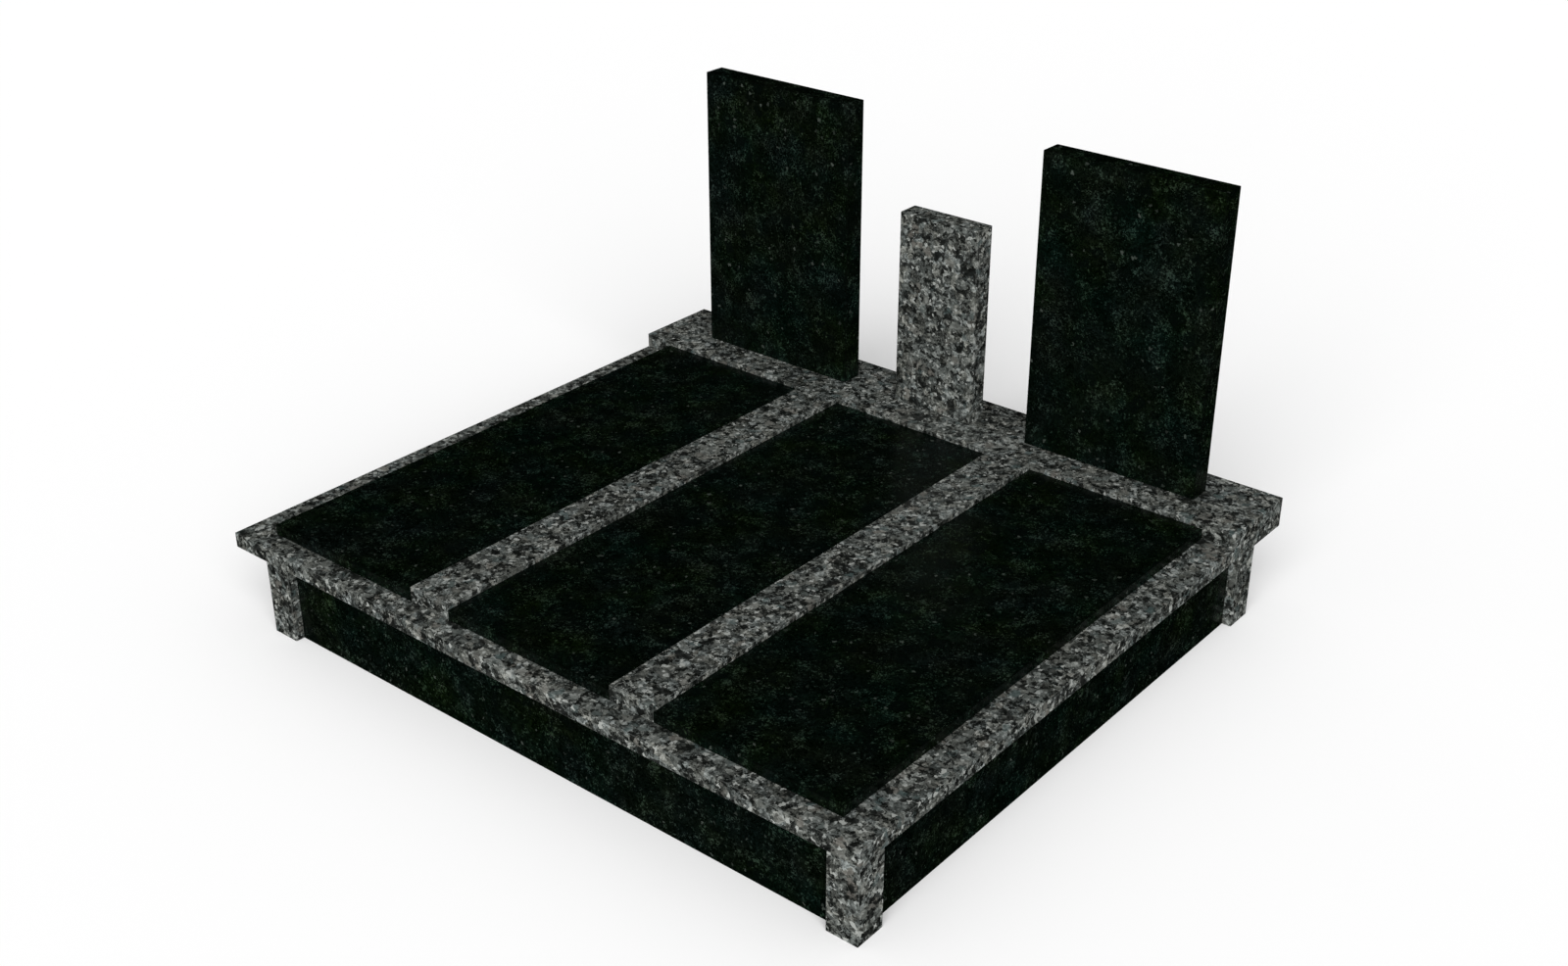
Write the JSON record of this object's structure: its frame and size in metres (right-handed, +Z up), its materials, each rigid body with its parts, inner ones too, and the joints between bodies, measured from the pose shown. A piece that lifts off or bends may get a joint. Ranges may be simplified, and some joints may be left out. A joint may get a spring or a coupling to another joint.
{
  "type": "grave memorial with headstones",
  "caption": "Low granite family grave memorial: plinth and coping frame, dark cover slabs between raised dividers, and a head slab carrying upright headstones and a centre pillar.",
  "frame": {"origin": "on the ground, at the middle of the coping's outline", "axes": "+X across the graves, +Y from the foot of the graves to the headstones, +Z up"},
  "size_m": [2.9, 2.6, 1.615],
  "materials": {
    "grey_granite": "polished mid-grey granite with light and dark grains",
    "dark_granite": "polished near-black green granite with sparse pale flecks"
  },
  "bodies": {
    "root": {"post_front_left": "grey_granite", "post_front_right": "grey_granite", "post_back_left": "grey_granite", "post_back_right": "grey_granite", "panel_front": "dark_granite", "panel_back": "dark_granite", "panel_left": "dark_granite", "panel_right": "dark_granite", "coping_front": "grey_granite", "coping_back": "grey_granite", "coping_left": "grey_granite", "coping_right": "grey_granite", "divider_left": "grey_granite", "divider_right": "grey_granite", "cover_left": "dark_granite", "cover_centre": "dark_granite", "cover_right": "dark_granite", "head_slab": "grey_granite", "headstone_left": "dark_granite", "headstone_right": "dark_granite", "centre_pillar": "grey_granite"}
  },
  "joints": []
}
